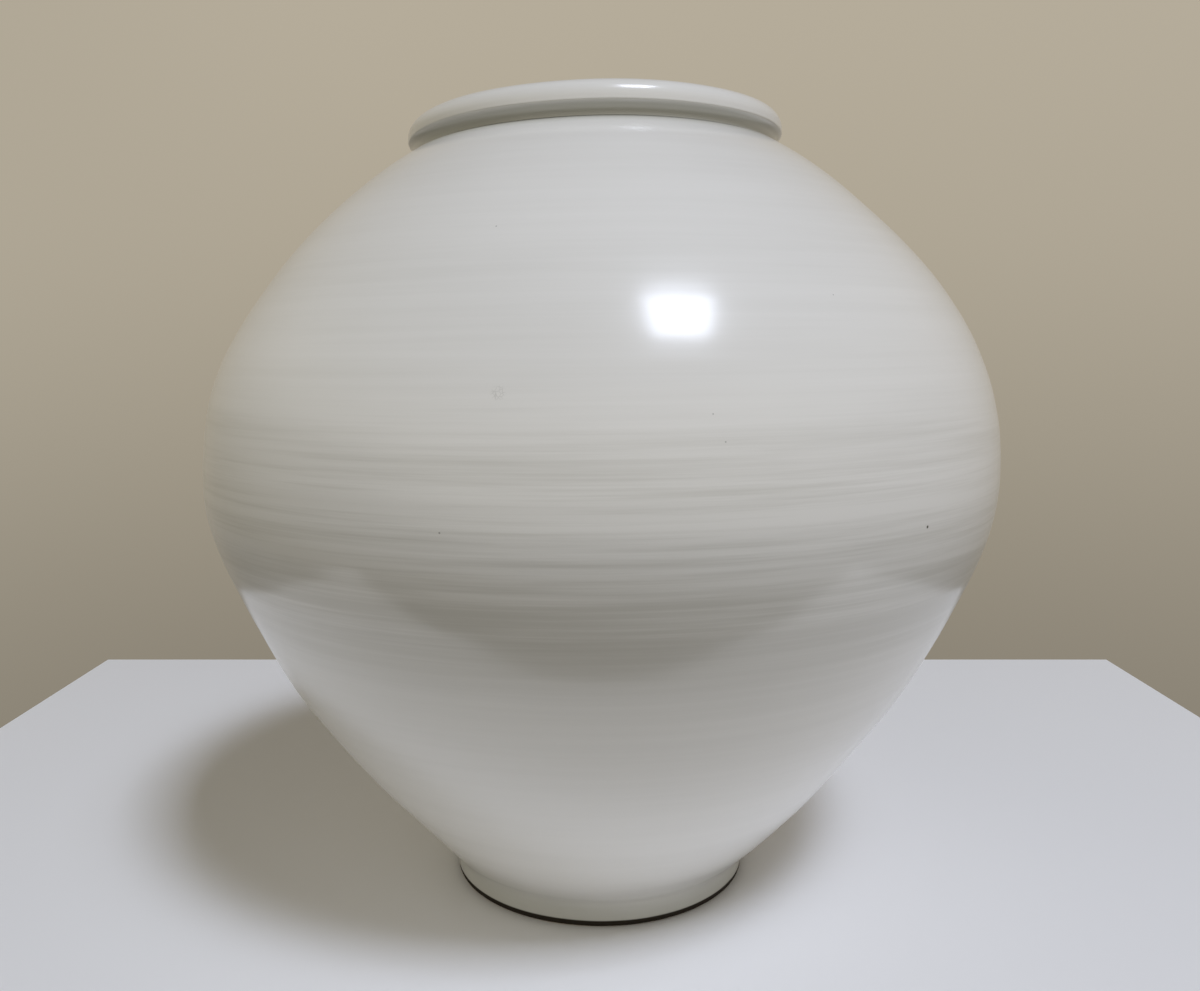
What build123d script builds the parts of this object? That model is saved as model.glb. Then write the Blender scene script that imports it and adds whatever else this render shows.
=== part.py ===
from build123d import *
from math import asin, cos, degrees, radians, sin
import os

# Korean moon jar: a large, round, white porcelain jar on a low foot ring.
# Two deep bowls are thrown on the wheel and luted rim to rim at the belly with slip,
# which is wet clay. A short neck with a rolled lip is luted on the shoulder opening,
# and a foot ring under the base. Glaze covers everything but the standing face.
# Millimetres, +Z up. The origin is the middle of the face that the jar stands on.

os.makedirs("parts", exist_ok=True)

# The jar's outline
belly_radius = 220.5  # outside, at the widest ring
lower_rise = 232.2  # from the top of the foot to the widest ring
upper_rise = 169.8  # from the widest ring to the shoulder opening
belly_curve = 146.3  # radius of the curve that rounds the belly
lower_turn = 22.8  # degrees that this curve runs below the widest ring
upper_turn = 33.3  # degrees that it runs above the widest ring
base_radius = 87.0  # where the lower wall meets the foot

# Walls and floor of the two bowls
wall = 7.0
base_thickness = 13.0
floor_inset = 2.0  # the inner wall would meet the floor this far inside the foot's edge
floor_curve = 30.0  # radius of the soft corner between floor and wall
base_dome_radius = 66.0  # the underside is turned slightly hollow within this radius
base_dome = 1.5  # depth of that hollow in the middle

# Belly joint: a ridge on the upper rim sits in a groove in the lower rim
seam_drop = 15.0  # the joint lies this far below the widest ring
joint_wall = 10.0  # the rims are left thicker than the wall, on the inside
joint_band = 9.0  # height of that thick band on each rim
joint_slope = 5.0  # height over which it runs out into the wall
groove_depth = 3.0
belly_slip_layer = 0.8
bead_reach = 2.2  # slip squeezed out on the inside stands this far off the rims
bead_spread = 2.6  # and spreads this far over each rim

# Neck with its rolled lip
neck_rise = 18.0  # from the shoulder opening to the top of the lip
throat_radius = 90.0  # the mouth, clear inside
throat_edge = 5.5  # height of the bowl's own edge inside the throat
neck_wall = 10.4  # thickness of the neck just over the joint
shoulder_ledge = 1.6  # the shoulder's opening edge stands out this far round the neck
lip_overhang = 4.1  # the lip rolls out this far past the neck
lip_roll = 8.7  # radius of the rounded top of the lip, on the outside
lip_side = 2.4  # upright height of the lip's outside, below its rounded top
lip_edge = 1.2  # radius of the lip's lower outer edge, over the hollow underside
neck_slip_layer = 0.6
neck_slip_inset = 0.8  # the slip stands back from the neck's outside, as a fine crease

# Foot ring
foot_height = 15.0
foot_radius = 86.0  # outside, at the top
foot_taper = 0.9  # the outside draws in by this much down to the standing face
foot_width = 13.0  # at the top
foot_lean = 1.2  # the inside opens out by this much down to the standing face
foot_chamfer = 1.2
foot_slip_layer = 0.6
foot_slip_inset = 0.6

# Heights and radii that follow
belly_height = foot_height + lower_rise
belly_center = belly_radius - belly_curve
floor_height = foot_height + base_thickness
floor_radius = base_radius - floor_inset
seam_height = belly_height - seam_drop
upper_seam_height = seam_height + belly_slip_layer
shoulder_height = belly_height + upper_rise
jar_height = shoulder_height + neck_rise
neck_height = shoulder_height + neck_slip_layer
neck_radius = throat_radius + neck_wall
shoulder_radius = neck_radius + shoulder_ledge
lip_radius = neck_radius + lip_overhang
lip_center = lip_radius - lip_roll
lip_roll_height = jar_height - lip_roll
lip_edge_height = lip_roll_height - lip_side
lip_inner_roll = lip_center - throat_radius
foot_top = foot_height - foot_slip_layer
foot_inner_radius = foot_radius - foot_width


def belly_point(turn, depth):
    """Point of the belly curve, set in by a depth, some degrees above the widest ring."""
    reach = belly_curve - depth
    return (belly_center + reach * cos(radians(turn)), belly_height + reach * sin(radians(turn)))


def belly_turn(height, depth):
    """Degrees above the widest ring where the belly curve, set in by a depth, has a height."""
    return degrees(asin((height - belly_height) / (belly_curve - depth)))


def upwards(turn):
    """Direction in which the belly curve climbs at a turn."""
    return (-sin(radians(turn)), cos(radians(turn)))


def downwards(turn):
    """Direction in which the belly curve falls at a turn."""
    return (sin(radians(turn)), -cos(radians(turn)))


def belly_arc(depth, turn_from, turn_to):
    """Stretch of the belly curve, set in by a depth."""
    return CenterArc(
        (belly_center, belly_height), belly_curve - depth, turn_from, turn_to - turn_from
    )


# The joint's cross-section, the same for both rims and the slip between them
lower_seam_turn = belly_turn(seam_height, 0)
upper_seam_turn = belly_turn(upper_seam_height, 0)
seam_radius = belly_point(lower_seam_turn, 0)[0]
upper_seam_radius = belly_point(upper_seam_turn, 0)[0]
joint_radius = seam_radius - joint_wall
groove_radius = (seam_radius + joint_radius) / 2
lower_band_end = seam_height - joint_band
upper_band_end = upper_seam_height + joint_band
lower_slope_turn = belly_turn(lower_band_end - joint_slope, wall)
upper_slope_turn = belly_turn(upper_band_end + joint_slope, wall)

# Lower bowl: foot edge, wall up to the grooved rim, thick band, wall down to the floor
with BuildPart() as lower_bowl:
    with BuildSketch(Plane.XZ):
        with BuildLine():
            TangentArc((0, foot_height + base_dome), (base_dome_radius, foot_height), tangent=(1, 0))
            Line((base_dome_radius, foot_height), (base_radius, foot_height))
            TangentArc(
                belly_point(-lower_turn, 0),
                (base_radius, foot_height),
                tangent=downwards(-lower_turn),
            )
            belly_arc(0, -lower_turn, lower_seam_turn)
            Polyline(
                (seam_radius, seam_height),
                (groove_radius, seam_height - groove_depth),
                (joint_radius, seam_height),
                (joint_radius, lower_band_end),
                belly_point(lower_slope_turn, wall),
            )
            belly_arc(wall, -lower_turn, lower_slope_turn)
            TangentArc(
                belly_point(-lower_turn, wall),
                (floor_radius, floor_height),
                tangent=downwards(-lower_turn),
            )
            Polyline(
                (floor_radius, floor_height), (0, floor_height), (0, foot_height + base_dome)
            )
        make_face()
        floor_corner = vertices().sort_by_distance((floor_radius, floor_height))[0]
        fillet(floor_corner, radius=floor_curve)
    revolve(axis=Axis.Z)
lower_bowl.part.label = "lower_bowl"
export_step(lower_bowl.part, "parts/lower_bowl.step")

# Upper bowl: ridged rim, wall over the belly and shoulder to the flat seat of the neck
with BuildPart() as upper_bowl:
    with BuildSketch(Plane.XZ):
        with BuildLine():
            belly_arc(0, upper_seam_turn, upper_turn)
            TangentArc(
                belly_point(upper_turn, 0),
                (shoulder_radius, shoulder_height),
                tangent=upwards(upper_turn),
            )
            Polyline(
                (shoulder_radius, shoulder_height),
                (throat_radius, shoulder_height),
                (throat_radius, shoulder_height - throat_edge),
            )
            TangentArc(
                belly_point(upper_turn, wall),
                (throat_radius, shoulder_height - throat_edge),
                tangent=upwards(upper_turn),
            )
            belly_arc(wall, upper_slope_turn, upper_turn)
            Polyline(
                belly_point(upper_slope_turn, wall),
                (joint_radius, upper_band_end),
                (joint_radius, upper_seam_height),
                (groove_radius, upper_seam_height - groove_depth),
                (upper_seam_radius, upper_seam_height),
            )
        make_face()
    revolve(axis=Axis.Z)
upper_bowl.part.label = "upper_bowl"
export_step(upper_bowl.part, "parts/upper_bowl.step")

# Belly slip: the layer between ridge and groove, with the bead squeezed out inside
with BuildPart() as belly_slip:
    with BuildSketch(Plane.XZ):
        with BuildLine():
            Polyline(
                (joint_radius, upper_seam_height + bead_spread),
                (joint_radius, upper_seam_height),
                (groove_radius, upper_seam_height - groove_depth),
                (upper_seam_radius, upper_seam_height),
                (seam_radius, seam_height),
                (groove_radius, seam_height - groove_depth),
                (joint_radius, seam_height),
                (joint_radius, seam_height - bead_spread),
            )
            ThreePointArc(
                (joint_radius, seam_height - bead_spread),
                (joint_radius - bead_reach, (seam_height + upper_seam_height) / 2),
                (joint_radius, upper_seam_height + bead_spread),
            )
        make_face()
    revolve(axis=Axis.Z)
belly_slip.part.label = "belly_slip"
export_step(belly_slip.part, "parts/belly_slip.step")

# Neck rim: a short collar that sweeps out, hollow underneath, to a lip with a rounded top
with BuildPart() as neck_rim:
    with BuildSketch(Plane.XZ):
        with BuildLine():
            TangentArc(
                (neck_radius, neck_height), (lip_radius, lip_edge_height), tangent=(0, 1)
            )
            Line((lip_radius, lip_edge_height), (lip_radius, lip_roll_height))
            CenterArc((lip_center, lip_roll_height), lip_roll, 0, 90)
            TangentArc(
                (lip_center, jar_height),
                (throat_radius, jar_height - lip_inner_roll),
                tangent=(-1, 0),
            )
            Polyline(
                (throat_radius, jar_height - lip_inner_roll),
                (throat_radius, neck_height),
                (neck_radius, neck_height),
            )
        make_face()
        lip_corner = vertices().sort_by_distance((lip_radius, lip_edge_height))[0]
        fillet(lip_corner, radius=lip_edge)
    revolve(axis=Axis.Z)
neck_rim.part.label = "neck_rim"
export_step(neck_rim.part, "parts/neck_rim.step")

# Neck slip: the thin ring that lutes the neck to its seat on the shoulder
with BuildPart() as neck_slip:
    with BuildSketch(Plane.XY.offset(shoulder_height)):
        Circle(neck_radius - neck_slip_inset)
        Circle(throat_radius, mode=Mode.SUBTRACT)
    extrude(amount=neck_slip_layer)
neck_slip.part.label = "neck_slip"
export_step(neck_slip.part, "parts/neck_slip.step")

# Foot ring: slightly tapered outside and in, chamfered where it stands
with BuildPart() as foot_ring:
    with BuildSketch(Plane.XZ):
        with BuildLine():
            Polyline(
                (foot_radius, foot_top),
                (foot_inner_radius, foot_top),
                (foot_inner_radius + foot_lean, 0),
                (foot_radius - foot_taper, 0),
                close=True,
            )
        make_face()
    revolve(axis=Axis.Z)
    standing_edges = foot_ring.edges().filter_by(GeomType.CIRCLE).group_by(Axis.Z)[0]
    chamfer(standing_edges, length=foot_chamfer)
foot_ring.part.label = "foot_ring"
export_step(foot_ring.part, "parts/foot_ring.step")

# Foot slip: the thin ring that lutes the foot under the base
with BuildPart() as foot_slip:
    with BuildSketch(Plane.XY.offset(foot_top)):
        Circle(foot_radius - foot_slip_inset)
        Circle(foot_inner_radius + foot_slip_inset, mode=Mode.SUBTRACT)
    extrude(amount=foot_slip_layer)
foot_slip.part.label = "foot_slip"
export_step(foot_slip.part, "parts/foot_slip.step")
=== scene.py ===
# %% [markdown]
# # Dressing a moon jar
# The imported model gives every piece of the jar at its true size, as a potter's template would.
# This script gives each piece the surface that hands, wheel and kiln leave on it: slightly
# leaning, slightly dented, ringed by throwing lines and covered with a clear, warm white glaze.
# Everything is in metres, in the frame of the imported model.

from math import asin, ceil, degrees, hypot, radians, sqrt

import bpy
import numpy as np
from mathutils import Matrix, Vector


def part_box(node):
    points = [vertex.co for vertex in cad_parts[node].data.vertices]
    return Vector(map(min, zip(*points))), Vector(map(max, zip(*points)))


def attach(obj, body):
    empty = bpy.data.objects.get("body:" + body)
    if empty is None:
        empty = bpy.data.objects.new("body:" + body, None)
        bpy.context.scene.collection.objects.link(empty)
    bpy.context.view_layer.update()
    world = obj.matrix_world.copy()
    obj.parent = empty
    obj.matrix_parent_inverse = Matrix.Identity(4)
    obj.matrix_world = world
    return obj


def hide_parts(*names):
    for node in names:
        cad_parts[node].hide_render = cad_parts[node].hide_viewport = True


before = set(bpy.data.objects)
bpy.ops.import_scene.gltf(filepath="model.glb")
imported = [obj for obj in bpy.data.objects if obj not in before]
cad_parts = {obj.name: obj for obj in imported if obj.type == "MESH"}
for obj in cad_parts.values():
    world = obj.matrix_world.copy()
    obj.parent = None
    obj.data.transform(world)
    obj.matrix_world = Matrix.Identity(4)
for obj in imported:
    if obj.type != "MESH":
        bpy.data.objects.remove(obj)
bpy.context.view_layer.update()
print("pieces in the frame:", sorted(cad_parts))

# %% [markdown]
# ## Sizes
# The boxes of the frame's pieces give the sizes that can be read off them. What a box can't
# tell, such as how round the belly is, is written here once.

# %% Sizes of the jar
mm = 0.001
belly_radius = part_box("upper_bowl")[1].x
jar_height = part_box("neck_rim")[1].z
base_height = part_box("lower_bowl")[0].z
seam_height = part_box("lower_bowl")[1].z
shoulder_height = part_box("upper_bowl")[1].z
neck_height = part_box("neck_rim")[0].z
neck_slip_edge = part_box("neck_slip")[1].x
foot_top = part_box("foot_ring")[1].z
foot_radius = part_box("foot_ring")[1].x

seam_drop = 15.0 * mm  # the belly joint lies this far below the widest ring
belly_height = seam_height + seam_drop
belly_curve = 146.3 * mm  # radius of the curve that rounds the belly
lower_turn = 22.8  # degrees that it runs below the widest ring
upper_turn = 33.3  # degrees that it runs above it
base_ledge = 1.0 * mm  # the wall meets the foot this far outside the foot's own edge
base_radius = foot_radius + base_ledge
wall = 7.0 * mm
base_thickness = 13.0 * mm
base_dome = 1.5 * mm
base_dome_radius = 66.0 * mm
floor_inset = 2.0 * mm
floor_curve = 30.0 * mm

belly_slip_layer = 0.8 * mm
joint_wall = 10.0 * mm
joint_band = 9.0 * mm
joint_slope = 5.0 * mm
groove_depth = 3.0 * mm
bead_reach = 2.2 * mm
bead_spread = 2.6 * mm

neck_slip_inset = 0.8 * mm
neck_wall = 10.4 * mm
shoulder_ledge = 1.6 * mm
throat_edge = 5.5 * mm
lip_overhang = 4.1 * mm
lip_roll = 8.7 * mm
lip_side = 2.4 * mm  # upright height of the lip's outside, below its rounded top
lip_edge = 1.2 * mm  # radius of the lip's lower edge, over its hollow underside

foot_width = 13.0 * mm
foot_taper = 0.9 * mm
foot_lean = 1.2 * mm
foot_edge = 2.0 * mm  # the wiped edges of the standing face are rounded by this radius
foot_slip_inset = 0.6 * mm

belly_center = belly_radius - belly_curve
floor_height = base_height + base_thickness
floor_radius = base_radius - floor_inset
upper_seam_height = seam_height + belly_slip_layer
neck_radius = neck_slip_edge + neck_slip_inset
throat_radius = neck_radius - neck_wall
shoulder_radius = neck_radius + shoulder_ledge
lip_radius = neck_radius + lip_overhang
lip_roll_height = jar_height - lip_roll
lip_edge_height = lip_roll_height - lip_side
lip_center = lip_radius - lip_roll
lip_inner_roll = lip_center - throat_radius
foot_inner_radius = foot_radius - foot_width
print(f"jar {2 * belly_radius:.3f} m wide, {jar_height:.3f} m high, mouth {2 * throat_radius:.3f} m")

# %% [markdown]
# ## Outlines from arcs
# A potter's outline is a chain of soft curves. Each is a part of a circle, and neighbours share
# a tangent where they meet, so that light slides over the wall without a break. All outline
# points are pairs of radius and height, in rows of a numpy array.

# %% Lines and arcs
wall_row = 1.35 * mm  # spacing of the points on the outside
hidden_row = 3.5 * mm  # spacing inside and in the joints
rim_row = 0.45 * mm  # spacing on the lip and the foot
edge_row = 0.20 * mm  # spacing round small edges
same_place = 1e-7  # points nearer to each other than this are one


def line(start, end, row):
    """Points on a straight run: start + share * (end - start), the share going from 0 to 1."""
    start, end = np.array(start), np.array(end)
    count = max(2, ceil(hypot(*(end - start)) / row) + 1)
    return start + np.linspace(0, 1, count)[:, None] * (end - start)


def arc(center, radius, turn_from, turn_to, row):
    """Points on a circle: center + radius * (cos turn, sin turn), for turns in degrees."""
    count = max(2, ceil(radius * radians(abs(turn_to - turn_from)) / row) + 1)
    turn = np.radians(np.linspace(turn_from, turn_to, count))
    return np.array(center) + radius * np.column_stack([np.cos(turn), np.sin(turn)])


def tangent_circle(start, end, tangent):
    """Center and signed radius of the circle that leaves start along tangent and meets end.

    The center lies off start, square to the tangent, by chord squared / (2 * chord . normal).
    """
    start, chord = np.array(start), np.array(end) - np.array(start)
    normal = np.array([-tangent[1], tangent[0]])
    radius = chord @ chord / (2 * chord @ normal)
    return start + radius * normal, radius


def tangent_arc(start, end, tangent, row):
    """Points from start to end on their tangent circle, start turned about its center."""
    center, radius = tangent_circle(start, end, tangent)
    first, last = np.array(start) - center, np.array(end) - center
    turn_from = degrees(np.arctan2(first[1], first[0]))
    swing = degrees(np.arctan2(first[0] * last[1] - first[1] * last[0], first @ last))
    return arc(center, abs(radius), turn_from, turn_from + swing, row)


def joined(*runs):
    """Runs of points end to end, with the points that they share kept once."""
    points = np.vstack(runs)
    moved = np.hypot(*np.diff(points, axis=0).T) > same_place
    return points[np.concatenate([[True], moved])]


print("points round the top of the lip:", len(arc((0, 0), lip_roll, 0, 90, rim_row)))


# %% [markdown]
# ## The wall's own curves
# The belly is one arc about a center inside the jar. Below and above it two longer arcs run to
# the foot and to the shoulder opening. Set in by the wall's thickness, the same three arcs give
# the inside.

# %% Points of the wall
def belly_point(turn, depth):
    """Point of the belly curve, set in by depth, some degrees above the widest ring."""
    reach = belly_curve - depth
    return belly_center + reach * np.cos(np.radians(turn)), belly_height + reach * np.sin(np.radians(turn))


def belly_turn(height, depth):
    """Degrees above the widest ring at which the belly curve, set in by depth, has a height."""
    return degrees(asin((height - belly_height) / (belly_curve - depth)))


def belly_arc(depth, turn_from, turn_to, row):
    """Stretch of the belly curve, set in by depth."""
    return arc((belly_center, belly_height), belly_curve - depth, turn_from, turn_to, row)


def falling(turn):
    """Direction in which the belly curve falls at a turn."""
    return np.sin(np.radians(turn)), -np.cos(np.radians(turn))


def climbing(turn):
    """Direction in which the belly curve climbs at a turn."""
    return -np.sin(np.radians(turn)), np.cos(np.radians(turn))


base_edge = (base_radius, base_height)
shoulder_edge = (shoulder_radius, shoulder_height)
lower_circle = tangent_circle(belly_point(-lower_turn, 0), base_edge, falling(-lower_turn))
upper_circle = tangent_circle(belly_point(upper_turn, 0), shoulder_edge, climbing(upper_turn))
print(f"the wall's arcs: {abs(lower_circle[1]):.3f}, {belly_curve:.3f} and {abs(upper_circle[1]):.3f} m")


# Past the ends of the wall its arcs say nothing, so the upward share is held within this
upward_limit = 0.98


def facing(height):
    """Way that the outside faces at a height: radial and upward share of its normal.

    On a circle the upward share is (height - center height) / radius.
    """
    low, high = belly_point(-lower_turn, 0)[1], belly_point(upper_turn, 0)[1]
    upward = np.where(
        height < low,
        (height - lower_circle[0][1]) / abs(lower_circle[1]),
        np.where(
            height > high,
            (height - upper_circle[0][1]) / abs(upper_circle[1]),
            (height - belly_height) / belly_curve,
        ),
    )
    upward = np.clip(upward, -upward_limit, upward_limit)
    return np.sqrt(1 - upward**2), upward


# %% [markdown]
# ## The potter's hand
# A moon jar is never a true solid of revolution. The two bowls are joined wet, so the jar leans
# a little, and the neck, thrown on last, sits a little to one side and tilts. The wall has
# shallow dents and bulges, and spiral throwing lines left by the fingers. All pieces are moved
# by the same function of place, so that they still meet at the joints. At the end everything
# shrinks a little, so that the tilted lip stays under the height of the model.

# %% How the hand moves a point
hand_scale = 0.992
body_lean = 1.2 * mm  # sideways over the jar's height
neck_shift = -4.0 * mm
neck_tilt = (0.0260, -0.0252)  # rise of the neck per metre to the right and to the back
foot_shift = -1.4 * mm
foot_spread = 1.3 * mm  # the thrown foot is this much wider all round than the template
neck_blend_height = 380 * mm  # the shoulder begins to follow the neck here
foot_blend_height = 60 * mm  # the lower wall begins to follow the foot here
neck_fade = 14 * mm  # lines and dents fade out over this height below the neck
foot_fade = 8 * mm  # and over this height above the foot
axis_fade_share = 0.8  # and under the base, within this share of its radius

# Shallow dents and bulges: degrees around from the right, height, depth (outwards is plus)
# and how far they spread up and down
dents = [
    (200, 335 * mm, -1.2 * mm, 28 * mm),
    (200, 226 * mm, 1.2 * mm, 26 * mm),
    (200, 133 * mm, 1.2 * mm, 24 * mm),
    (200, 45 * mm, -1.7 * mm, 26 * mm),
    (-20, 340 * mm, 0.8 * mm, 30 * mm),
    (-20, 180 * mm, -0.9 * mm, 24 * mm),
    (-20, 92 * mm, -0.9 * mm, 26 * mm),
    (75, 290 * mm, -0.9 * mm, 45 * mm),
    (110, 150 * mm, 0.7 * mm, 50 * mm),
]
dent_spread = 34  # degrees around

# Throwing lines: distance from ring to ring, height of the ridge, how often it climbs a
# distance in one turn around the jar
throwing_waves = [
    (57 * mm, 0.18 * mm, 0),
    (26 * mm, 0.050 * mm, 1),
    (13.5 * mm, 0.014 * mm, 1),
    (8.6 * mm, 0.006 * mm, -1),
]
ring_drift = 0.7  # radians by which a ring wanders on its way around
swell_share = 0.35  # of a ridge's height that comes and goes
swell_rings = 4.3  # distances from ring to ring between two swells

# Shallow grooves that the turning tool left near the belly joint: height, depth and spread
turned_grooves = [
    (301.5 * mm, 0.07 * mm, 3.5 * mm),
    (287.0 * mm, 0.03 * mm, 3.5 * mm),
    (276.0 * mm, 0.04 * mm, 3.5 * mm),
    (259.0 * mm, 0.07 * mm, 4.0 * mm),
    (245.0 * mm, 0.20 * mm, 5.6 * mm),
    (233.3 * mm, 0.09 * mm, 3.8 * mm),
    (225.0 * mm, 0.05 * mm, 2.8 * mm),
    (217.0 * mm, 0.05 * mm, 3.0 * mm),
]
groove_fade_share = 1 / 3  # of a groove's depth that comes and goes around the jar
ring_tilt = 0.012  # all rings rise this much per metre to the right

# Waves around the neck and the foot, outwards and upwards: reach and number of waves
outward_waves = [(0.22 * mm, 2), (0.10 * mm, 5)]
upward_waves = [(0.12 * mm, 3), (0.06 * mm, 7)]
hand = np.random.default_rng(11)
throwing_phases = hand.uniform(0, 2 * np.pi, (len(throwing_waves), 3))
outward_phases = hand.uniform(0, 2 * np.pi, len(outward_waves))
upward_phases = hand.uniform(0, 2 * np.pi, len(upward_waves))


def eased(value, start, end):
    """Soft step from 0 at start to 1 at end: 3 s^2 - 2 s^3 of the share s of the way."""
    share = np.clip((value - start) / (end - start), 0, 1)
    return share**2 * (3 - 2 * share)


def throwing_lines(angle, height):
    """Sum of ring waves, each ridge * sin(2 pi height / spacing + turns * angle + drift).

    The drift is a slow sine around the jar, and each ridge swells and fades with height.
    """
    relief = 0
    for (spacing, ridge, turns), (start, drift, swell) in zip(throwing_waves, throwing_phases):
        phase = 2 * np.pi * height / spacing + turns * angle + start
        phase = phase + ring_drift * np.sin(angle + drift)
        swelling = np.sin(2 * np.pi * height / (swell_rings * spacing) + angle + swell)
        strength = 1 - swell_share + swell_share * swelling
        relief = relief + ridge * strength * np.sin(phase)
    return relief


def grooved(angle, level):
    """Sum of the grooves, each -depth * exp(-((level - height) / spread)^2).

    Around the jar each groove fades in and out, as a sine.
    """
    relief = 0
    for place, depth, spread in turned_grooves:
        strength = 1 + groove_fade_share * np.sin(angle + place / spread)
        relief = relief - depth * strength * np.exp(-(((level - place) / spread) ** 2))
    return relief


def dented(angle, height):
    """Sum of bell-shaped dents: depth * exp(-(turn / spread)^2 - (rise / spread)^2)."""
    relief = 0
    for around, middle, depth, spread in dents:
        turn = (np.degrees(angle) - around + 180) % 360 - 180
        rise = height - middle
        relief = relief + depth * np.exp(-((turn / dent_spread) ** 2) - (rise / spread) ** 2)
    return relief


def waved(angle, waves, phases):
    """Sum of waves around the jar, each reach * sin(number * angle + phase)."""
    return sum(reach * np.sin(number * angle + phase) for (reach, number), phase in zip(waves, phases))


def by_hand(radius, angle, height):
    """Place, as x, y and z, of the template's point (radius, angle, height) on the thrown jar.

    The wall moves along its own normal by its dents and throwing lines, which fade out towards
    the axis, the foot and the neck. The foot spreads, and neck and foot are a little out of
    round. Then the whole slice at that height moves sideways, and the neck tilts. Near the neck
    and the foot the slice follows theirs.
    """
    out, up = facing(height)
    fade = eased(radius, 0, axis_fade_share * base_radius)
    fade = fade * eased(height, base_height, base_height + foot_fade)
    fade = fade * (1 - eased(height, shoulder_height - neck_fade, shoulder_height))
    level = height - ring_tilt * radius * np.cos(angle)
    relief = throwing_lines(angle, level) + grooved(angle, level) + dented(angle, height)
    relief = fade * relief
    neck = eased(height, neck_blend_height, shoulder_height)
    foot = 1 - eased(height, base_height, foot_blend_height)
    wobble = (neck + foot) * waved(angle, outward_waves, outward_phases) + foot * foot_spread
    ripple = waved(angle, upward_waves, upward_phases)
    ring = radius + out * relief + eased(radius, 0, foot_inner_radius) * wobble
    x, y = ring * np.cos(angle), ring * np.sin(angle)
    lean = body_lean * (height - belly_height) / jar_height
    side = lean + neck * (neck_shift - lean) + foot * (foot_shift - lean)
    tilt = neck * (neck_tilt[0] * x + neck_tilt[1] * y + ripple)
    return hand_scale * np.stack([x + side, y + 0 * side, height + up * relief + tilt], axis=-1)


print(f"at the belly the hand leaves {by_hand(belly_radius, 0.0, belly_height)[0]:.4f} m of radius")

# %% [markdown]
# ## Turning an outline into a mesh
# The surface has two parameters: the place along the outline and the angle around the axis. Both
# are arrays, so numpy works out all points at once. The outline runs up the outside and down the
# inside, which makes every face point out of the clay. Where it ends on the axis, one point
# closes the middle with a fan of triangles.

# %% Lathe
segments = 256
sharp_edge = radians(35)  # edges that turn by more than this stay sharp in the shading


def turned(name, outline, piece_of, on_axis=False):
    """Mesh of an outline carried around the axis.

    Point (i, j) is by_hand(radius i, angle j, height i). The imported piece piece_of is hidden.
    """
    body = outline[1:-1] if on_axis else outline
    angle = np.linspace(0, 2 * np.pi, segments, endpoint=False)[None, :]
    points = by_hand(body[:, :1], angle, body[:, 1:]).reshape(-1, 3)
    grid = np.arange(len(points)).reshape(len(body), segments)
    if on_axis:
        low, high = grid[:-1], grid[1:]
    else:
        low, high = grid, np.roll(grid, -1, axis=0)
    faces = np.stack([low, np.roll(low, -1, 1), np.roll(high, -1, 1), high], axis=-1)
    faces = faces.reshape(-1, 4).tolist()
    if on_axis:
        ends = [by_hand(np.float64(0), np.float64(0), height) for height in outline[[0, -1], 1]]
        first, last = len(points), len(points) + 1
        points = np.vstack([points, ends])
        for ring, pole in ((grid[0, ::-1], first), (grid[-1], last)):
            fan = np.stack([ring, np.roll(ring, -1), np.full(segments, pole)], axis=-1)
            faces += fan.tolist()
    mesh = bpy.data.meshes.new(name)
    mesh.from_pydata(points.tolist(), [], faces)
    mesh.shade_smooth()
    mesh.set_sharp_from_angle(angle=sharp_edge)
    piece = bpy.data.objects.new(name, mesh)
    bpy.context.scene.collection.objects.link(piece)
    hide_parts(piece_of)
    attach(piece, "root")
    print(f"{name}: {len(points)} points, {len(faces)} faces")
    return piece


# %% [markdown]
# ## The lower bowl
# Its rim carries a groove for the upper bowl's ridge, and is left thicker on the inside. The
# outline starts under the foot on the axis, goes out and up, over the rim, and down the inside to
# a soft corner with the flat floor.

# %% Lower bowl
seam_turn = belly_turn(seam_height, 0)
upper_seam_turn = belly_turn(upper_seam_height, 0)
seam_radius = belly_point(seam_turn, 0)[0]
upper_seam_radius = belly_point(upper_seam_turn, 0)[0]
joint_radius = seam_radius - joint_wall
groove_radius = (seam_radius + joint_radius) / 2
lower_seam = (seam_radius, seam_height)
lower_groove = (groove_radius, seam_height - groove_depth)
lower_rim = (joint_radius, seam_height)
upper_seam = (upper_seam_radius, upper_seam_height)
upper_groove = (groove_radius, upper_seam_height - groove_depth)
upper_rim = (joint_radius, upper_seam_height)
lower_band_end = seam_height - joint_band
upper_band_end = upper_seam_height + joint_band
lower_slope_turn = belly_turn(lower_band_end - joint_slope, wall)
upper_slope_turn = belly_turn(upper_band_end + joint_slope, wall)

floor_circle = tangent_circle(
    belly_point(-lower_turn, wall), (floor_radius, floor_height), falling(-lower_turn)
)
corner_height = floor_height + floor_curve
corner_reach = sqrt((abs(floor_circle[1]) - floor_curve) ** 2 - (corner_height - floor_circle[0][1]) ** 2)
corner = np.array([floor_circle[0][0] + corner_reach, corner_height])
corner_turn = degrees(np.arctan2(corner[1] - floor_circle[0][1], corner[0] - floor_circle[0][0]))
corner_way = np.array([np.cos(np.radians(corner_turn)), np.sin(np.radians(corner_turn))])
corner_start = corner + floor_curve * corner_way

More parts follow.
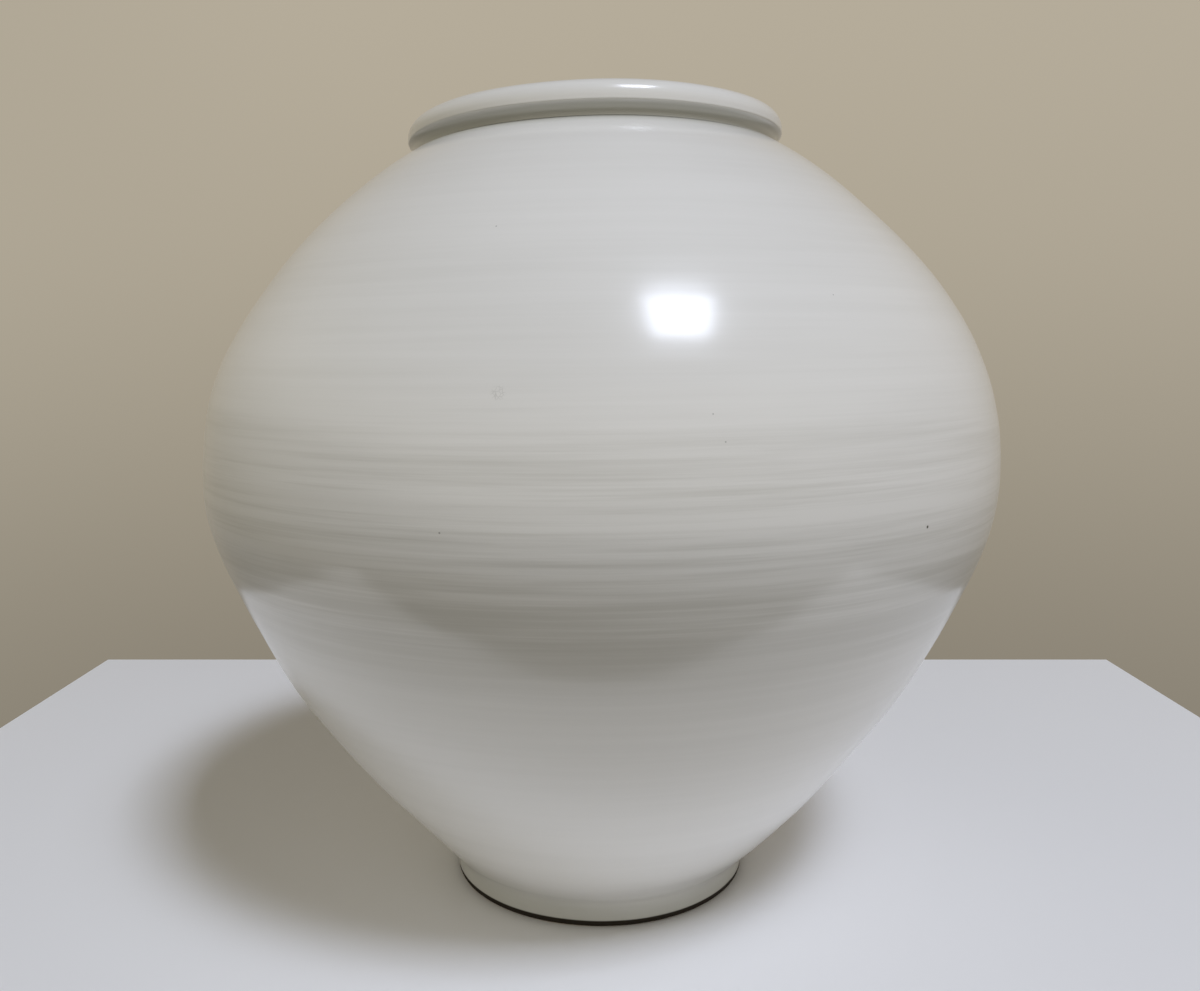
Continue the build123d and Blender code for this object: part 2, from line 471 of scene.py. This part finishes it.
lower_bowl = turned(
    "lower_bowl_glazed",
    joined(
        tangent_arc((0, base_height + base_dome), (base_dome_radius, base_height), (1, 0), hidden_row),
        line((base_dome_radius, base_height), base_edge, hidden_row),
        tangent_arc(belly_point(-lower_turn, 0), base_edge, falling(-lower_turn), wall_row)[::-1],
        belly_arc(0, -lower_turn, seam_turn, wall_row),
        line(lower_seam, lower_groove, hidden_row),
        line(lower_groove, lower_rim, hidden_row),
        line(lower_rim, (joint_radius, lower_band_end), hidden_row),
        line((joint_radius, lower_band_end), belly_point(lower_slope_turn, wall), hidden_row),
        belly_arc(wall, lower_slope_turn, -lower_turn, hidden_row),
        tangent_arc(belly_point(-lower_turn, wall), corner_start, falling(-lower_turn), hidden_row),
        arc(corner, floor_curve, corner_turn, -90, hidden_row),
        line((corner[0], floor_height), (0, floor_height), hidden_row),
    ),
    "lower_bowl",
    on_axis=True,
)

# %% [markdown]
# ## The upper bowl
# It was thrown as the same kind of bowl, turned over and set rim to rim on the first. Its outline
# is a closed loop: up over the belly and the shoulder, across the seat of the neck, down the
# throat's edge and the inside, and back over the ridge.

# %% Upper bowl
throat_corner = (throat_radius, shoulder_height - throat_edge)
upper_bowl = turned(
    "upper_bowl_glazed",
    joined(
        belly_arc(0, upper_seam_turn, upper_turn, wall_row),
        tangent_arc(belly_point(upper_turn, 0), shoulder_edge, climbing(upper_turn), wall_row),
        line(shoulder_edge, (throat_radius, shoulder_height), hidden_row),
        line((throat_radius, shoulder_height), throat_corner, hidden_row),
        tangent_arc(belly_point(upper_turn, wall), throat_corner, climbing(upper_turn), hidden_row)[::-1],
        belly_arc(wall, upper_turn, upper_slope_turn, hidden_row),
        line(belly_point(upper_slope_turn, wall), (joint_radius, upper_band_end), hidden_row),
        line((joint_radius, upper_band_end), upper_rim, hidden_row),
        line(upper_rim, upper_groove, hidden_row),
        line(upper_groove, upper_seam, hidden_row),
    )[:-1],
    "upper_bowl",
)

# %% [markdown]
# ## The slip between the bowls
# Slip is clay stirred with water to a cream. Pressed between ridge and groove it fills the joint,
# and a bead of it is squeezed out on the inside, where nobody wipes it off. On the outside it is
# wiped flush and glazed over, so the joint doesn't show.

# %% Belly slip
bead_low = (joint_radius, seam_height - bead_spread)
bead_top = (joint_radius, upper_seam_height + bead_spread)
bead_half = (bead_top[1] - bead_low[1]) / 2
bead_radius = (bead_half**2 + bead_reach**2) / (2 * bead_reach)
bead_center = (joint_radius - bead_reach + bead_radius, bead_low[1] + bead_half)
bead_turn = degrees(asin(bead_half / bead_radius))
belly_slip = turned(
    "belly_slip_bead",
    joined(
        line(lower_seam, upper_seam, rim_row),
        line(upper_seam, upper_groove, hidden_row),
        line(upper_groove, upper_rim, hidden_row),
        line(upper_rim, bead_top, hidden_row),
        arc(bead_center, bead_radius, 180 - bead_turn, 180 + bead_turn, rim_row),
        line(bead_low, lower_rim, hidden_row),
        line(lower_rim, lower_groove, hidden_row),
        line(lower_groove, lower_seam, hidden_row),
    )[:-1],
    "belly_slip",
)

# %% [markdown]
# ## The neck with its rolled lip
# The neck is a low collar that sweeps outwards, hollow underneath, to a lip with a full, round
# top and a short upright side. A small round takes the edge off where the hollow meets that
# side. It touches both, so its center lies one radius in from the side, and on a circle one
# radius wider than the hollow. The hollow lies in the lip's own shade, and shows as a dark line
# over the shoulder.

# %% Neck rim
neck_foot = (neck_radius, neck_height)
cove_center, cove_radius = tangent_circle(neck_foot, (lip_radius, lip_edge_height), (0, 1))
cove_radius = abs(cove_radius)
edge_reach = lip_radius - lip_edge - cove_center[0]
edge_rise = sqrt((cove_radius + lip_edge) ** 2 - edge_reach**2)
edge_center = (lip_radius - lip_edge, cove_center[1] + edge_rise)
cove_turn = degrees(np.arctan2(edge_center[1] - cove_center[1], edge_reach))
print(f"the hollow under the lip has a radius of {cove_radius:.4f} m")
neck_rim = turned(
    "neck_rim_glazed",
    joined(
        line((throat_radius, neck_height), neck_foot, rim_row),
        arc(cove_center, cove_radius, 180, cove_turn, rim_row),
        arc(edge_center, lip_edge, cove_turn - 180, 0, edge_row),
        line((lip_radius, edge_center[1]), (lip_radius, lip_roll_height), rim_row),
        arc((lip_center, lip_roll_height), lip_roll, 0, 90, rim_row),
        arc((lip_center, jar_height - lip_inner_roll), lip_inner_roll, 90, 180, rim_row),
        line((throat_radius, jar_height - lip_inner_roll), (throat_radius, neck_height), rim_row),
    )[:-1],
    "neck_rim",
)

# %% [markdown]
# ## The slip under the neck
# A thin ring of slip holds the neck on its seat. It stops a little short of the neck's outside,
# so a fine crease runs round the jar there. The ring is so thin and plain that a rectangle is
# outline enough.

# %% Neck slip
neck_slip = turned(
    "neck_slip_seam",
    joined(
        line((throat_radius, shoulder_height), (neck_slip_edge, shoulder_height), hidden_row),
        line((neck_slip_edge, shoulder_height), (neck_slip_edge, neck_height), rim_row),
        line((neck_slip_edge, neck_height), (throat_radius, neck_height), hidden_row),
        line((throat_radius, neck_height), (throat_radius, shoulder_height), rim_row),
    )[:-1],
    "neck_slip",
)

# %% [markdown]
# ## The foot
# The foot ring is trimmed from thick clay: nearly upright outside, and opening a little inside.
# Its standing face is wiped free of glaze before the firing, or the jar would stick to the kiln
# shelf, and the wiping rounds its edges.

# %% Foot ring
foot_low_radius = foot_radius - foot_taper
foot_low_inner = foot_inner_radius + foot_lean
foot_ring = turned(
    "foot_ring_glazed",
    joined(
        line((foot_low_inner + foot_edge, 0), (foot_low_radius - foot_edge, 0), rim_row),
        arc((foot_low_radius - foot_edge, foot_edge), foot_edge, -90, 0, rim_row),
        line((foot_low_radius, foot_edge), (foot_radius, foot_top), rim_row),
        line((foot_radius, foot_top), (foot_inner_radius, foot_top), hidden_row),
        line((foot_inner_radius, foot_top), (foot_low_inner, foot_edge), rim_row),
        arc((foot_low_inner + foot_edge, foot_edge), foot_edge, 180, 270, rim_row),
    )[:-1],
    "foot_ring",
)

# %% [markdown]
# ## The slip over the foot
# Slip holds the foot under the base, and together with the glaze it fills the corner between
# foot and wall with a soft hollow. The hollow is an arc that touches both: its center lies one
# radius out from the foot's side, and on a circle one radius wider than the wall's. Behind both
# ends of the arc the outline goes on into the clay, so that no edge stands out.

# %% Foot slip
foot_slip_inside = foot_inner_radius + foot_slip_inset
pool_radius = 14.0 * mm  # of the filled corner
pool_root = 1.0 * mm  # both its ends lie this deep in the clay
foot_slant = np.array([foot_taper, foot_top - foot_edge])
foot_slant = foot_slant / hypot(*foot_slant)  # the way up along the side of the foot
foot_facing = np.array([foot_slant[1], -foot_slant[0]])
to_corner = np.array([foot_radius, foot_top]) + pool_radius * foot_facing - lower_circle[0]
down = to_corner @ foot_slant
wide = abs(lower_circle[1]) + pool_radius
slide = down + sqrt(down**2 - to_corner @ to_corner + wide**2)
pool_center = lower_circle[0] + to_corner - slide * foot_slant
to_wall = (lower_circle[0] - pool_center) / wide
pool_turns = [degrees(np.arctan2(way[1], way[0])) for way in (-foot_facing, to_wall)]
pool_low = pool_center - pool_radius * foot_facing
pool_high = pool_center + pool_radius * to_wall
low_root = (pool_low[0] - pool_root, pool_low[1])
high_root = pool_high + pool_root * to_wall
base_root = (base_radius - pool_root, base_height)
print(f"the corner over the foot is filled from {pool_low[1]:.4f} to {pool_high[1]:.4f} m")
foot_slip = turned(
    "foot_slip_seam",
    joined(
        line((foot_slip_inside, foot_top), (low_root[0], foot_top), hidden_row),
        line((low_root[0], foot_top), low_root, rim_row),
        arc(pool_center, pool_radius, *pool_turns, rim_row),
        line(pool_high, high_root, rim_row),
        line(high_root, base_root, rim_row),
        line(base_root, (foot_slip_inside, base_height), hidden_row),
        line((foot_slip_inside, base_height), (foot_slip_inside, foot_top), rim_row),
    )[:-1],
    "foot_slip",
)

# %% [markdown]
# ## Shader sums as Python
# A material is a graph of nodes. To read it like a formula, a socket is wrapped in a small class
# whose operators add Math nodes. Every other node comes from one method, which takes the node's
# type, its settings and the values or links of its inputs.

# %% Wires and node trees
class Wire:
    """An output socket to calculate with: each operator adds one Math node to its tree."""

    def __init__(self, tree, socket):
        self.tree = tree
        self.socket = socket

    def __add__(self, other):
        return self.tree.maths("ADD", self, other)

    def __sub__(self, other):
        return self.tree.maths("SUBTRACT", self, other)

    def __rsub__(self, other):
        return self.tree.maths("SUBTRACT", other, self)

    def __mul__(self, other):
        return self.tree.maths("MULTIPLY", self, other)

    __radd__ = __add__
    __rmul__ = __mul__


class Tree:
    """A node tree under construction, of a material or of the world."""

    def __init__(self, owner):
        owner.use_nodes = True
        self.nodes = owner.node_tree.nodes
        self.links = owner.node_tree.links
        self.nodes.clear()

    def add(self, kind, settings=None, inputs=None, output=0):
        """One node: settings first, then its inputs by name or number. Returns an output."""
        node = self.nodes.new(kind)
        for name, value in (settings or {}).items():
            setattr(node, name, value)
        for name, value in (inputs or {}).items():
            if isinstance(value, Wire):
                self.links.new(value.socket, node.inputs[name])
            else:
                node.inputs[name].default_value = value
        return Wire(self, node.outputs[output]) if node.outputs else None

    def maths(self, operation, first, second):
        """Math node on two values, for the operators and for comparisons."""
        return self.add("ShaderNodeMath", {"operation": operation}, {0: first, 1: second})

    def step(self, value, start, end):
        """Soft step from 0 at start to 1 at end."""
        return self.add(
            "ShaderNodeMapRange",
            {"interpolation_type": "SMOOTHSTEP"},
            {"Value": value, "From Min": start, "From Max": end},
        )

    def mix(self, factor, first, second):
        """Colour between two: the first where factor is 0, the second where it is 1."""
        inputs = {0: factor, 6: self.colour(first), 7: self.colour(second)}
        return self.add("ShaderNodeMix", {"data_type": "RGBA"}, inputs, output=2)

    def colour(self, value):
        """A wire as it is, and a written colour with its alpha."""
        return value if isinstance(value, Wire) else (*value, 1)

    def stretched(self, place, scale):
        """Place with each axis multiplied by its own scale."""
        return self.add("ShaderNodeVectorMath", {"operation": "MULTIPLY"}, {0: place, 1: scale})

    def distance(self, place, center):
        """How far place is from a center."""
        settings = {"operation": "DISTANCE"}
        return self.add("ShaderNodeVectorMath", settings, {0: place, 1: center}, output=1)

    def noise(self, place, scale, detail, roughness):
        """Soft random value around 0.5, with scale waves to a metre."""
        inputs = {"Vector": place, "Scale": scale, "Detail": detail, "Roughness": roughness}
        return self.add("ShaderNodeTexNoise", {}, inputs)


# %% [markdown]
# ## The glaze
# Clear glaze over white porcelain is a glossy coat over a body that scatters light. The coat's
# waves are too fine to see, so they are written as a little roughness, which gives a lamp's image
# its soft edge. The rougher body under it adds a faint halo. The colour isn't even. Streaks run
# along the throwing lines, most of all round the belly. On top of them, light and shade are
# painted in. The lower wall is painted lighter and a band just under the belly darker. Painted
# shade in an olive-green tone lies under the lip and over the foot, and is darkest in the crease
# under the neck. These zones are soft steps of height or radius, read from the Object coordinates.

# %% Colours of glaze and clay
glaze_light = (0.790, 0.778, 0.748)
glaze_dark = (0.640, 0.628, 0.590)
# Painted shade, in an olive-green tone, under the lip and over the foot
lip_shade_tint = (0.400, 0.400, 0.345)
foot_shade_tint = (0.430, 0.435, 0.400)
iron = (0.045, 0.038, 0.030)
# Painted shade in the crease under the neck
crease_shade_tint = (0.170, 0.165, 0.135)
crackle_tint = (0.440, 0.430, 0.400)
clay_bare = (0.420, 0.330, 0.235)
# Burnt clay and painted contact shadow, nearly black, along the foot's lowest edge
burnt_clay_and_shadow = (0.018, 0.013, 0.008)

# Heights over which each zone of the glaze comes in or goes out
# The lower wall is painted lighter, as if lit by the plinth; this goes out over these heights
painted_light_end = (90 * mm, 170 * mm)
# Painted shade in a band just under the belly
valley_shade_start = (150 * mm, 185 * mm)
valley_shade_end = (205 * mm, 222 * mm)
belt_start = (165 * mm, 205 * mm)
belt_end = (245 * mm, 300 * mm)
# Painted shade over the foot
foot_shade_end = (8 * mm, 27 * mm)
wiped_end = (3.4 * mm, 4.2 * mm)
burnt_and_shadow_start = (0.1 * mm, 1.0 * mm)
lip_shade_drop = 4.0 * mm  # the painted shade under the lip begins this far below the shoulder's edge
soft_edge = 1.5 * mm  # of the painted shade under the lip and in the crease
crease_end = (neck_height + 0.8 * mm, neck_height + 3.6 * mm)
throat_side = ((neck_radius - 9 * mm) ** 2, (neck_radius - 6 * mm) ** 2)  # squares of radii

# How much of the darker body colour there is, and what each noise adds to it. The lower wall has
# less of it, as painted light, and a band just under the belly more, as painted shade. Bands and
# lines add more round the belly, which is the second value.
dark_least = 0.12
painted_light_share = 0.20
valley_shade_share = 0.42
cloud_share = 0.4
band_shares = (0.35, 1.05)
line_shares = (0.40, 1.9)

# How strongly each zone of painted shade is mixed in, and how far the edges of the foot's shade
# and of the bare clay wander by clouds and by lines
lip_shade_share = 0.65
crease_shade_share = 0.35
foot_shade_share = 0.75
foot_shade_wander = (14 * mm, 4 * mm)
wiped_wander = (1.6 * mm, 0.8 * mm)

body_roughness = 0.34
coat_roughness = 0.17
bare_roughness = 0.45  # the wiped clay is rougher by this much
relief_height = 0.012 * mm  # of the finest bumps
print(f"the glaze lies thick from {valley_shade_start[0]:.3f} to {valley_shade_end[1]:.3f} m")


# %% [markdown]
# ## Marks in the glaze
# Iron in the clay burns through as small dark specks, and one small spot is crackled. A mark is
# given by where it sits on the jar, and its place follows the thrown wall.

# %% Places of the marks
def outside_point(around, height):
    """Point of the finished outside at degrees around from the right and a height."""
    circle, radius = (belly_center, belly_height), belly_curve
    if height < belly_point(-lower_turn, 0)[1]:
        circle, radius = lower_circle[0], abs(lower_circle[1])
    elif height > belly_point(upper_turn, 0)[1]:
        circle, radius = upper_circle[0], abs(upper_circle[1])
    ring = circle[0] + sqrt(radius**2 - (height - circle[1]) ** 2)
    return by_hand(np.float64(ring), np.radians(around), np.float64(height))


# Specks of iron in the clay: degrees around from the right, height, radius and darkness
specks = [
    (-49.8, 233.3 * mm, 0.95 * mm, 1.0),
    (-107.1, 238.0 * mm, 0.55 * mm, 0.55),
    (-77.3, 274.4 * mm, 0.45 * mm, 0.5),
    (-78.5, 285.2 * mm, 0.45 * mm, 0.5),
    (-105.5, 361.9 * mm, 0.50 * mm, 0.5),
    (-59.5, 333.0 * mm, 0.45 * mm, 0.45),
    (64.0, 205.0 * mm, 0.80 * mm, 0.8),
    (118.0, 316.0 * mm, 0.50 * mm, 0.5),
    (171.0, 148.0 * mm, 0.60 * mm, 0.6),
]
crackle_place = (-101.1, 293.3 * mm)
crackle_reach = 3.6 * mm
crackle_share = 0.4  # how strongly its colour is mixed in
crack_edge = (0.02, 0.12)  # a crack's colour goes out over this part of a cell
speck_core_share = 0.4  # of its radius: within it a speck is at its darkest
speck_fray = 0.3 * mm  # its edge wanders by this much
print("the darkest speck is at", outside_point(*specks[0][:2]).round(4))


# %% [markdown]
# ## The glaze as a material
# Four noises do the work: clouds for slow changes, bands and lines that are stretched along the
# rings, and a fine grain. The first three mix two body colours, and each zone and mark then
# mixes in its own. What changes over the surface goes to colour, roughness, coat weight and
# bump, and to nothing else.

# %% Glaze material
def glaze(name, wiped_foot=False, lumpy=False):
    """Glazed porcelain with painted light and shade. A wiped foot is bare clay at its lowest edge, nearly
    black as burnt clay and painted contact shadow; slip is lumpy.
    """
    material = bpy.data.materials.new(name)
    tree = Tree(material)
    place = tree.add("ShaderNodeTexCoord", output=3)
    x, y, height = (tree.add("ShaderNodeSeparateXYZ", {}, {0: place}, output=axis) for axis in range(3))
    level = height - ring_tilt * x
    along_rings = tree.add("ShaderNodeCombineXYZ", {}, {0: x, 1: y, 2: level})

    cloud = tree.noise(place, 7.0, 3.0, 0.55)
    bands = tree.noise(tree.stretched(along_rings, (2.2, 2.2, 46.0)), 1.0, 3.0, 0.6)
    lines = tree.noise(tree.stretched(along_rings, (5.0, 5.0, 260.0)), 1.0, 4.0, 0.65)
    grain = tree.noise(place, 700.0, 2.0, 0.5)
    belt = tree.step(height, *belt_start) * (1 - tree.step(height, *belt_end))

    # Painted shade in a band just under the belly, and painted light on the lower wall
    shaded = tree.step(height, *valley_shade_start) * (1 - tree.step(height, *valley_shade_end))
    shade = dark_least + painted_light_share * tree.step(height, *painted_light_end) + valley_shade_share * shaded
    shade = shade + cloud_share * (cloud - 0.5)
    shade = shade + (band_shares[0] + band_shares[1] * belt) * (bands - 0.5)
    shade = shade + (line_shares[0] + line_shares[1] * belt) * (lines - 0.5)
    base = tree.mix(tree.step(shade, 0.0, 1.0), glaze_light, glaze_dark)

    # Painted shade under the lip's overhang
    tilted = (height - neck_tilt[0] * x - neck_tilt[1] * y) * (1 / hand_scale)
    lip_shade = tree.step(tilted, shoulder_height - lip_shade_drop, neck_height)
    lip_shade = lip_shade * (1 - tree.step(tilted, lip_edge_height - soft_edge, lip_edge_height))
    outside = tree.step(x * x + y * y, *throat_side)
    base = tree.mix(lip_shade_share * lip_shade * outside, base, lip_shade_tint)
    # Painted shade in the crease under the neck
    crease = tree.step(tilted, shoulder_height - soft_edge, shoulder_height)
    crease = crease * (1 - tree.step(tilted, *crease_end))
    base = tree.mix(crease_shade_share * crease * outside, base, crease_shade_tint)
    # Painted shade over the foot, which lies under the overhang of the belly
    edge = height + foot_shade_wander[0] * (cloud - 0.5) + foot_shade_wander[1] * (lines - 0.5)
    base = tree.mix(foot_shade_share * (1 - tree.step(edge, *foot_shade_end)), base, foot_shade_tint)

    for around, speck_height, speck_radius, darkness in specks:
        away = tree.distance(place, tuple(outside_point(around, speck_height)))
        away = away + speck_fray * (grain - 0.5)
        spot = darkness * (1 - tree.step(away, speck_core_share * speck_radius, speck_radius))
        base = tree.mix(spot, base, iron)
    away = tree.distance(place, tuple(outside_point(*crackle_place)))
    cracks = tree.add(
        "ShaderNodeTexVoronoi", {"feature": "DISTANCE_TO_EDGE"}, {"Vector": place, "Scale": 620.0}
    )
    crackle = 1 - tree.step(cracks, *crack_edge)
    crackle = crackle * (1 - tree.step(away, 0.5 * crackle_reach, crackle_reach))
    base = tree.mix(crackle_share * crackle, base, crackle_tint)

    roughness = body_roughness + 0.10 * (lines - 0.5)
    coat = 1.0
    relief = lines + 0.6 * grain
    if wiped_foot:
        edge = height + wiped_wander[0] * (cloud - 0.5) + wiped_wander[1] * (lines - 0.5)
        bare = 1 - tree.step(edge, *wiped_end)
        # Above the standing face the bare clay is nearly black: burnt clay and painted contact shadow
        clay = tree.mix(tree.step(edge, *burnt_and_shadow_start), clay_bare, burnt_clay_and_shadow)
        base = tree.mix(bare, base, clay)
        roughness = roughness + bare_roughness * bare
        coat = 1 - bare
        relief = relief + 4.0 * bare * grain
    if lumpy:
        relief = relief + 14.0 * tree.noise(place, 130.0, 2.0, 0.5)
    bump = tree.add(
        "ShaderNodeBump",
        {},
        {"Strength": 1.0, "Distance": relief_height, "Height": relief},
    )
    surface = tree.add(
        "ShaderNodeBsdfPrincipled",
        {},
        {
            "Base Color": base,
            "Roughness": roughness,
            "IOR": 1.5,
            "Specular IOR Level": 0.25,
            "Coat Weight": coat,
            "Coat Roughness": coat_roughness,
            "Coat IOR": 1.75,
            "Normal": bump,
        },
    )
    tree.add("ShaderNodeOutputMaterial", {}, {0: surface})
    return material


glazed = glaze("clear_glaze")
for piece in (lower_bowl, upper_bowl, neck_rim):
    piece.data.materials.append(glazed)
glazed_slip = glaze("glazed_slip", lumpy=True)
for piece in (belly_slip, neck_slip, foot_slip):
    piece.data.materials.append(glazed_slip)
foot_ring.data.materials.append(glaze("foot_glaze", wiped_foot=True))
for material in bpy.data.materials:
    if material.use_nodes:
        print(f"{material.name}: {len(material.node_tree.nodes)} nodes")

# %% [markdown]
# ## Floor
# The jar stands on a pale, matt plinth top. It ends a little way in front of the jar, and that
# edge matters: the lower half of the jar mirrors the bright plinth, and the darker room before it.

# %% Plinth
plinth_low = (-0.492, -0.280, -0.900)
plinth_high = (0.504, 0.415, 0.0)
plinth_edge = 1.5 * mm  # width of its bevelled edges
paint_dark = (0.795, 0.795, 0.805)
paint_light = (0.815, 0.815, 0.821)


def plinth():
    """Box between two corners, its edges rounded by a bevel."""
    corners = np.array(np.meshgrid(*zip(plinth_low, plinth_high), indexing="ij")).reshape(3, 8).T
    faces = [(0, 1, 3, 2), (4, 6, 7, 5), (0, 4, 5, 1), (2, 3, 7, 6), (0, 2, 6, 4), (1, 5, 7, 3)]
    mesh = bpy.data.meshes.new("plinth")
    mesh.from_pydata(corners.tolist(), [], faces)
    box = bpy.data.objects.new("plinth", mesh)
    bpy.context.scene.collection.objects.link(box)
    bevel = box.modifiers.new("soft_edges", "BEVEL")
    bevel.width = plinth_edge
    bevel.segments = 3
    paint = bpy.data.materials.new("matt_paint")
    tree = Tree(paint)
    place = tree.add("ShaderNodeTexCoord", output=3)
    cloud = tree.noise(place, 3.0, 3.0, 0.5)
    grain = tree.noise(tree.stretched(place, (1.0, 12.0, 12.0)), 40.0, 3.0, 0.6)
    base = tree.mix(cloud, paint_dark, paint_light)
    relief = {"Strength": 0.3, "Distance": 0.05 * mm, "Height": grain}
    bump = tree.add("ShaderNodeBump", {}, relief)
    surface = tree.add(
        "ShaderNodeBsdfPrincipled", {}, {"Base Color": base, "Roughness": 0.55, "Normal": bump}
    )
    tree.add("ShaderNodeOutputMaterial", {}, {0: surface})
    mesh.materials.append(paint)
    print("the plinth measures", np.subtract(plinth_high, plinth_low).round(3), "m")


plinth()

# %% [markdown]
# ## Light
# A glossy jar shows the whole room in its wall, so the room matters as much as the lamp. The
# world is a warm room in four tints: bright in front of the jar, dimmer on the right and behind.
# It darkens below the plinth's top and towards the ceiling, least of all where the camera sees
# it straight, which keeps the backdrop pale from every side.

# %% The room
room_front = (0.690, 0.655, 0.565)
room_right = (0.450, 0.412, 0.353)
room_back = (0.410, 0.365, 0.287)
room_left = (0.620, 0.577, 0.460)

# How far up a direction points, from -1 to 1, where the room darkens, and by what share
front_low = (-0.48, 0.04)
front_high = (0.25, 1.0)
front_darker_share = 0.88
back_low = (-0.70, 0.10)
back_high = (0.35, 1.0)
back_darker_share = 0.80
left_lift = 0.34  # on the left the lower darkness reaches this much higher

# Share of its own colour that the room keeps as a backdrop: the least of it, low down, and
# what is added high up, away from the left
backdrop_least = 0.60
backdrop_low = (-0.38, 0.12)
backdrop_lift = 0.14
lift_up = (-0.05, 0.35)
lift_across = (-0.65, -0.20)


def room():
    """World colour from direction: four tints, mixed by the fourth power of its sideways part.

    The camera sees a paler backdrop, and everything else gets the darker room's light.
    """
    world = bpy.data.worlds.new("room")
    bpy.context.scene.world = world
    tree = Tree(world)
    way = tree.add("ShaderNodeTexCoord", output=0)
    up = tree.add("ShaderNodeSeparateXYZ", {}, {0: way}, output=2)
    flat = tree.stretched(way, (1.0, 1.0, 0.0))
    level = tree.add("ShaderNodeVectorMath", {"operation": "NORMALIZE"}, {0: flat})
    across = tree.add("ShaderNodeSeparateXYZ", {}, {0: level}, output=0)
    along = tree.add("ShaderNodeSeparateXYZ", {}, {0: level}, output=1)
    ends = tree.mix(tree.maths("GREATER_THAN", along, 0.0), room_front, room_back)
    sides = tree.mix(tree.maths("GREATER_THAN", across, 0.0), room_left, room_right)
    walls = tree.mix(across * across * across * across, ends, sides)
    front = 1 - tree.step(along, -0.5, 0.5)
    left = 1 - tree.step(across, -1.0, -0.55)
    back = 1 - front
    low_shade = front * tree.step(up, front_low[0], front_low[1] + left_lift * left)
    low_shade = low_shade + back * tree.step(up, back_low[0], back_low[1] + left_lift * left)
    high_shade = 1 - front * front_darker_share * tree.step(up, *front_high)
    high_shade = high_shade - back * back_darker_share * tree.step(up, *back_high)
    seen = tree.add("ShaderNodeLightPath")
    backdrop = backdrop_least + (1 - backdrop_least) * tree.step(up, *backdrop_low)
    lift = backdrop_lift * tree.step(up, *lift_up) * tree.step(across, *lift_across)
    backdrop = backdrop + lift
    strength = seen * backdrop + (1 - seen) * low_shade * high_shade
    background = tree.add("ShaderNodeBackground", {}, {"Color": walls, "Strength": strength})
    tree.add("ShaderNodeOutputWorld", {}, {0: background})
    print(f"{world.name}: {len(tree.nodes)} nodes")


room()

# %% [markdown]
# ## The lamp
# The lamp is a cool panel under the ceiling, to the front and the right. Mirrored at full power
# it would make too wide and white a spot on the glaze, so it has two parts. One is mirrored. A
# farther one, in the same direction, isn't, and gives most of the light and the shadow's edge.
# A real lamp can't do that, and the mirrored part still comes out white in the middle.

# %% Ceiling panel
panel_aim = np.array([0, 0, 0.200])
panel_way = np.array([1.002, -1.548, 3.000])
panel_size = np.array([0.870, 1.150])
panel_turn = radians(14)
panel_tint = (0.79, 0.85, 1.0)
mirrored_energy = 31.0
hidden_energy = 66.0
hidden_size_share = 0.70  # of the mirrored panel's breadth, as seen from the jar
hidden_reach = 3.0  # the hidden panel hangs this many times as far away


def ceiling_panel(name, energy, reach, size_share, mirrored):
    """Area lamp at reach times the panel's distance, and as many times as large.

    Its energy in watts is that at reach 1, and grows with the square of the reach.
    """
    panel = bpy.data.lights.new(name, "AREA")
    panel.shape = "RECTANGLE"
    panel.size, panel.size_y = reach * size_share * panel_size
    panel.energy = energy * reach**2
    panel.color = panel_tint
    lamp = bpy.data.objects.new(name, panel)
    lamp.location = panel_aim + reach * panel_way
    lamp.rotation_euler = (0, 0, panel_turn)
    lamp.visible_glossy = mirrored
    bpy.context.scene.collection.objects.link(lamp)
    print(f"{name}: {panel.energy:.0f} W, {panel.size:.2f} by {panel.size_y:.2f} m")


ceiling_panel("panel", mirrored_energy, 1.0, 1.0, True)
ceiling_panel("panel_fill", hidden_energy, hidden_reach, hidden_size_share, False)

# %% [markdown]
# ## Camera
# The camera stands just under two thirds of a metre in front of the jar, a little above its
# belly, and looks slightly down.

# %% Camera
camera_place = np.array([-1.077, -631.9, 311.3]) * mm * hand_scale
look_down = radians(7.874)
photo_width = 1200
focal_pixels = 1077.5  # focal length, in widths of a photo pixel
lens = bpy.data.cameras.new("camera")
lens.sensor_width = 36.0
lens.lens = focal_pixels / photo_width * lens.sensor_width
lens.clip_start = 0.01
camera = bpy.data.objects.new("camera", lens)
camera.location = camera_place
camera.rotation_euler = (radians(90) - look_down, 0, 0)
bpy.context.scene.collection.objects.link(camera)
bpy.context.scene.camera = camera
print(f"lens of {lens.lens:.1f} mm, {camera_place[2]:.3f} m above the plinth")

# %% [markdown]
# ## Finishing
# Colours are shown as they are written, so the view transform is the plain one.

# %% Plain colour management
bpy.context.scene.view_settings.view_transform = "Standard"
